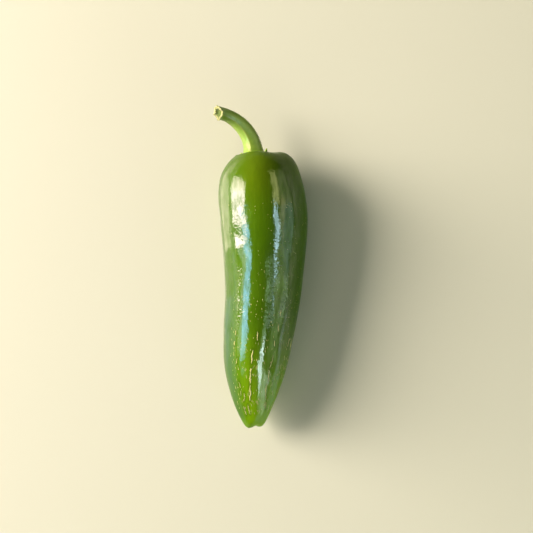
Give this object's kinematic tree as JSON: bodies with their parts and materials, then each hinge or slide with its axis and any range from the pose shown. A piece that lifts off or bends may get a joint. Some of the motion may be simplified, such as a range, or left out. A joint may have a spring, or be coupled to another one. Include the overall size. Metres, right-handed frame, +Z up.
{
  "type": "chilli pepper",
  "caption": "Fresh green chilli pepper lying on its side: a plump tapering pod with a blunt shoulder, a small toothed calyx and a short curved stem.",
  "frame": {"origin": "middle of the small flat spot that the pod rests on", "axes": "+Y along the pod from its tip to its stem, +Z up from the surface it lies on, +X across it so that the stem bends towards -X"},
  "size_m": [0.0291, 0.0991, 0.0258],
  "materials": {
    "pod_skin": "waxy gloss, with fine corky lines towards the tip",
    "calyx_skin": "satin",
    "stem_skin": "satin, ribbed, with a dry torn end"
  },
  "bodies": {
    "root": {"pod": "pod_skin", "calyx": "calyx_skin", "stem": "stem_skin"}
  },
  "joints": []
}
